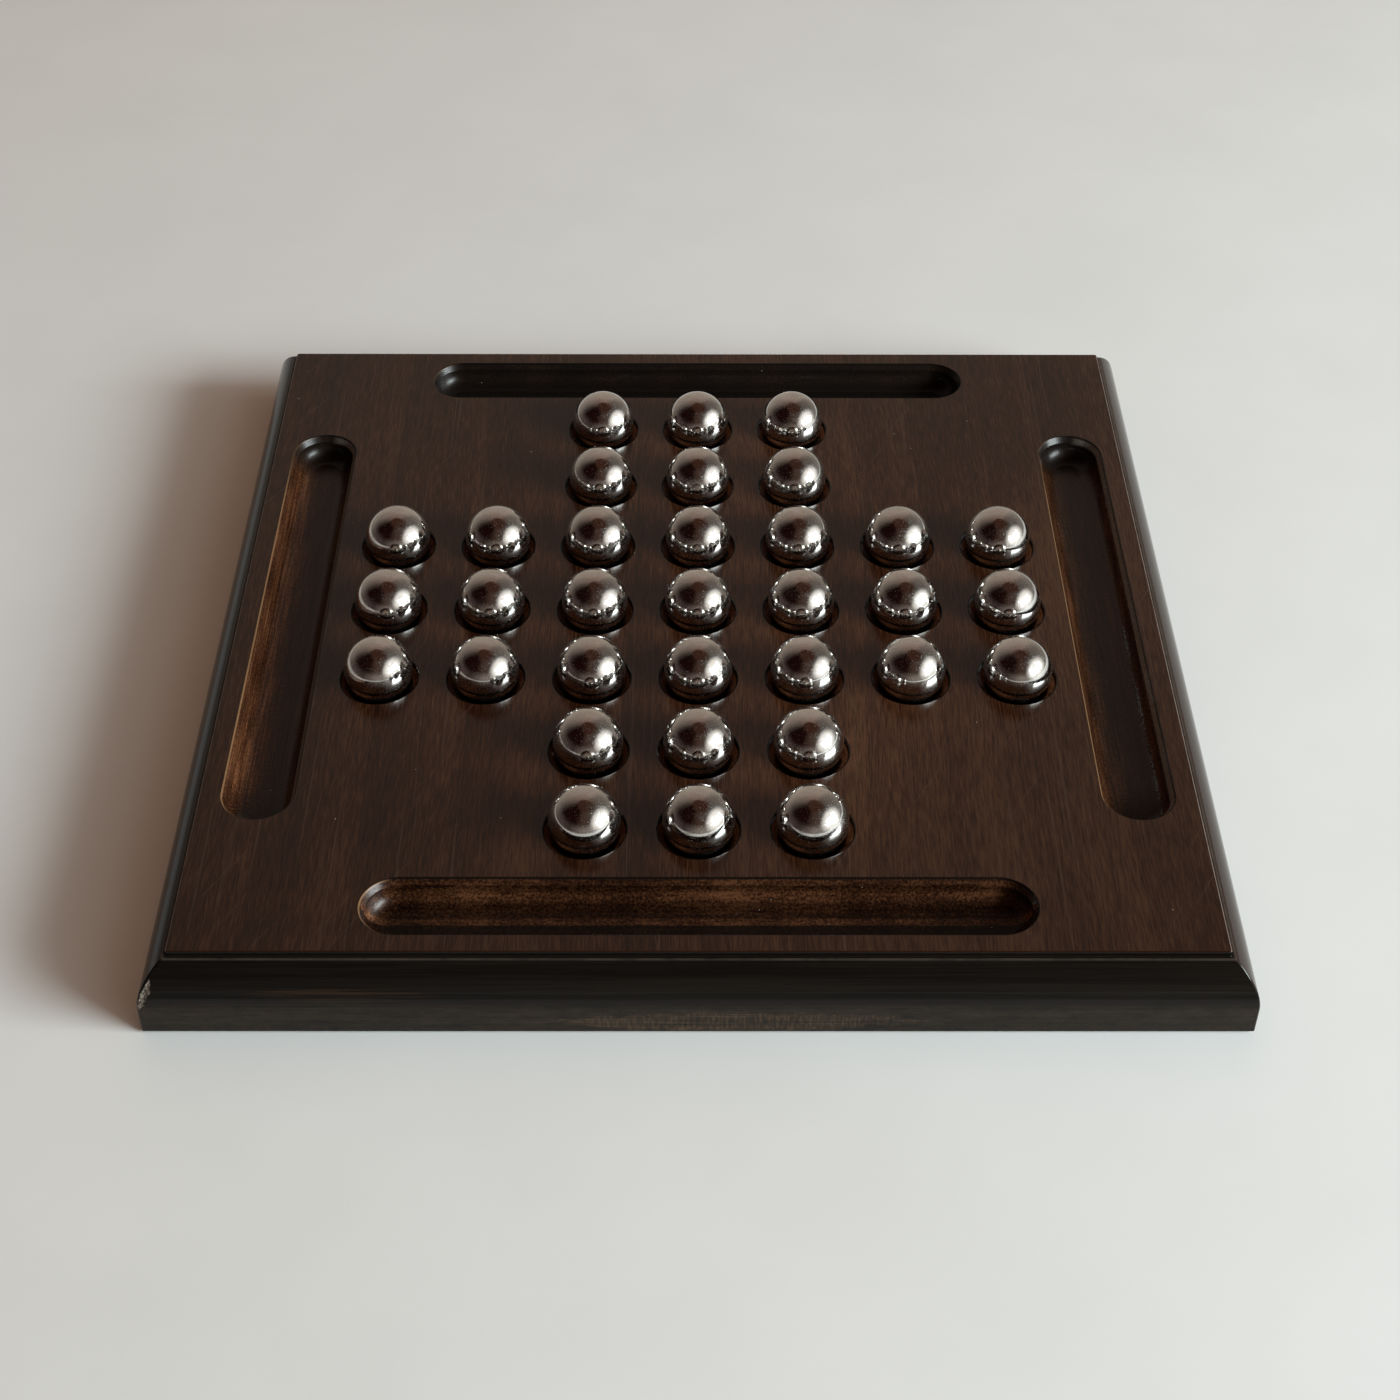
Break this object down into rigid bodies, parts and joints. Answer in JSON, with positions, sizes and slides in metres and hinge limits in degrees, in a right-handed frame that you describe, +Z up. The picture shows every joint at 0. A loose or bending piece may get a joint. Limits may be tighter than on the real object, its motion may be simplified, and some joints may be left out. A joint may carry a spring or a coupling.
{
  "type": "peg solitaire board",
  "caption": "Square dark-stained wooden solitaire board with a moulded edge, round cups in a cross, a tray groove along each side and loose steel balls that lift out of the cups.",
  "frame": {"origin": "middle of the board's underside, on the surface that it stands on", "axes": "+Z up out of the cups, +X to the right and -Y to the front as the picture sees it"},
  "size_m": [0.235, 0.235, 0.0292],
  "materials": {
    "stained_wood": "dark walnut stain under satin lacquer, grain running from front to back",
    "steel": "polished steel with fine scuffs"
  },
  "bodies": {
    "board": {"board": "stained_wood"},
    "ball_c1": {"ball_c1": "steel"},
    "ball_d1": {"ball_d1": "steel"},
    "ball_e1": {"ball_e1": "steel"},
    "ball_c2": {"ball_c2": "steel"},
    "ball_d2": {"ball_d2": "steel"},
    "ball_e2": {"ball_e2": "steel"},
    "ball_a3": {"ball_a3": "steel"},
    "ball_b3": {"ball_b3": "steel"},
    "ball_c3": {"ball_c3": "steel"},
    "ball_d3": {"ball_d3": "steel"},
    "ball_e3": {"ball_e3": "steel"},
    "ball_f3": {"ball_f3": "steel"},
    "ball_g3": {"ball_g3": "steel"},
    "ball_a4": {"ball_a4": "steel"},
    "ball_b4": {"ball_b4": "steel"},
    "ball_c4": {"ball_c4": "steel"},
    "ball_d4": {"ball_d4": "steel"},
    "ball_e4": {"ball_e4": "steel"},
    "ball_f4": {"ball_f4": "steel"},
    "ball_g4": {"ball_g4": "steel"},
    "ball_a5": {"ball_a5": "steel"},
    "ball_b5": {"ball_b5": "steel"},
    "ball_c5": {"ball_c5": "steel"},
    "ball_d5": {"ball_d5": "steel"},
    "ball_e5": {"ball_e5": "steel"},
    "ball_f5": {"ball_f5": "steel"},
    "ball_g5": {"ball_g5": "steel"},
    "ball_c6": {"ball_c6": "steel"},
    "ball_d6": {"ball_d6": "steel"},
    "ball_e6": {"ball_e6": "steel"},
    "ball_c7": {"ball_c7": "steel"},
    "ball_d7": {"ball_d7": "steel"},
    "ball_e7": {"ball_e7": "steel"}
  },
  "joints": [
    {"name": "lift_c1", "type": "slide", "parent": "board", "child": "ball_c1", "axis": [0, 0, 1], "range_m": [0, 0.025]},
    {"name": "lift_d1", "type": "slide", "parent": "board", "child": "ball_d1", "axis": [0, 0, 1], "range_m": [0, 0.025]},
    {"name": "lift_e1", "type": "slide", "parent": "board", "child": "ball_e1", "axis": [0, 0, 1], "range_m": [0, 0.025]},
    {"name": "lift_c2", "type": "slide", "parent": "board", "child": "ball_c2", "axis": [0, 0, 1], "range_m": [0, 0.025]},
    {"name": "lift_d2", "type": "slide", "parent": "board", "child": "ball_d2", "axis": [0, 0, 1], "range_m": [0, 0.025]},
    {"name": "lift_e2", "type": "slide", "parent": "board", "child": "ball_e2", "axis": [0, 0, 1], "range_m": [0, 0.025]},
    {"name": "lift_a3", "type": "slide", "parent": "board", "child": "ball_a3", "axis": [0, 0, 1], "range_m": [0, 0.025]},
    {"name": "lift_b3", "type": "slide", "parent": "board", "child": "ball_b3", "axis": [0, 0, 1], "range_m": [0, 0.025]},
    {"name": "lift_c3", "type": "slide", "parent": "board", "child": "ball_c3", "axis": [0, 0, 1], "range_m": [0, 0.025]},
    {"name": "lift_d3", "type": "slide", "parent": "board", "child": "ball_d3", "axis": [0, 0, 1], "range_m": [0, 0.025]},
    {"name": "lift_e3", "type": "slide", "parent": "board", "child": "ball_e3", "axis": [0, 0, 1], "range_m": [0, 0.025]},
    {"name": "lift_f3", "type": "slide", "parent": "board", "child": "ball_f3", "axis": [0, 0, 1], "range_m": [0, 0.025]},
    {"name": "lift_g3", "type": "slide", "parent": "board", "child": "ball_g3", "axis": [0, 0, 1], "range_m": [0, 0.025]},
    {"name": "lift_a4", "type": "slide", "parent": "board", "child": "ball_a4", "axis": [0, 0, 1], "range_m": [0, 0.025]},
    {"name": "lift_b4", "type": "slide", "parent": "board", "child": "ball_b4", "axis": [0, 0, 1], "range_m": [0, 0.025]},
    {"name": "lift_c4", "type": "slide", "parent": "board", "child": "ball_c4", "axis": [0, 0, 1], "range_m": [0, 0.025]},
    {"name": "lift_d4", "type": "slide", "parent": "board", "child": "ball_d4", "axis": [0, 0, 1], "range_m": [0, 0.025]},
    {"name": "lift_e4", "type": "slide", "parent": "board", "child": "ball_e4", "axis": [0, 0, 1], "range_m": [0, 0.025]},
    {"name": "lift_f4", "type": "slide", "parent": "board", "child": "ball_f4", "axis": [0, 0, 1], "range_m": [0, 0.025]},
    {"name": "lift_g4", "type": "slide", "parent": "board", "child": "ball_g4", "axis": [0, 0, 1], "range_m": [0, 0.025]},
    {"name": "lift_a5", "type": "slide", "parent": "board", "child": "ball_a5", "axis": [0, 0, 1], "range_m": [0, 0.025]},
    {"name": "lift_b5", "type": "slide", "parent": "board", "child": "ball_b5", "axis": [0, 0, 1], "range_m": [0, 0.025]},
    {"name": "lift_c5", "type": "slide", "parent": "board", "child": "ball_c5", "axis": [0, 0, 1], "range_m": [0, 0.025]},
    {"name": "lift_d5", "type": "slide", "parent": "board", "child": "ball_d5", "axis": [0, 0, 1], "range_m": [0, 0.025]},
    {"name": "lift_e5", "type": "slide", "parent": "board", "child": "ball_e5", "axis": [0, 0, 1], "range_m": [0, 0.025]},
    {"name": "lift_f5", "type": "slide", "parent": "board", "child": "ball_f5", "axis": [0, 0, 1], "range_m": [0, 0.025]},
    {"name": "lift_g5", "type": "slide", "parent": "board", "child": "ball_g5", "axis": [0, 0, 1], "range_m": [0, 0.025]},
    {"name": "lift_c6", "type": "slide", "parent": "board", "child": "ball_c6", "axis": [0, 0, 1], "range_m": [0, 0.025]},
    {"name": "lift_d6", "type": "slide", "parent": "board", "child": "ball_d6", "axis": [0, 0, 1], "range_m": [0, 0.025]},
    {"name": "lift_e6", "type": "slide", "parent": "board", "child": "ball_e6", "axis": [0, 0, 1], "range_m": [0, 0.025]},
    {"name": "lift_c7", "type": "slide", "parent": "board", "child": "ball_c7", "axis": [0, 0, 1], "range_m": [0, 0.025]},
    {"name": "lift_d7", "type": "slide", "parent": "board", "child": "ball_d7", "axis": [0, 0, 1], "range_m": [0, 0.025]},
    {"name": "lift_e7", "type": "slide", "parent": "board", "child": "ball_e7", "axis": [0, 0, 1], "range_m": [0, 0.025]}
  ]
}
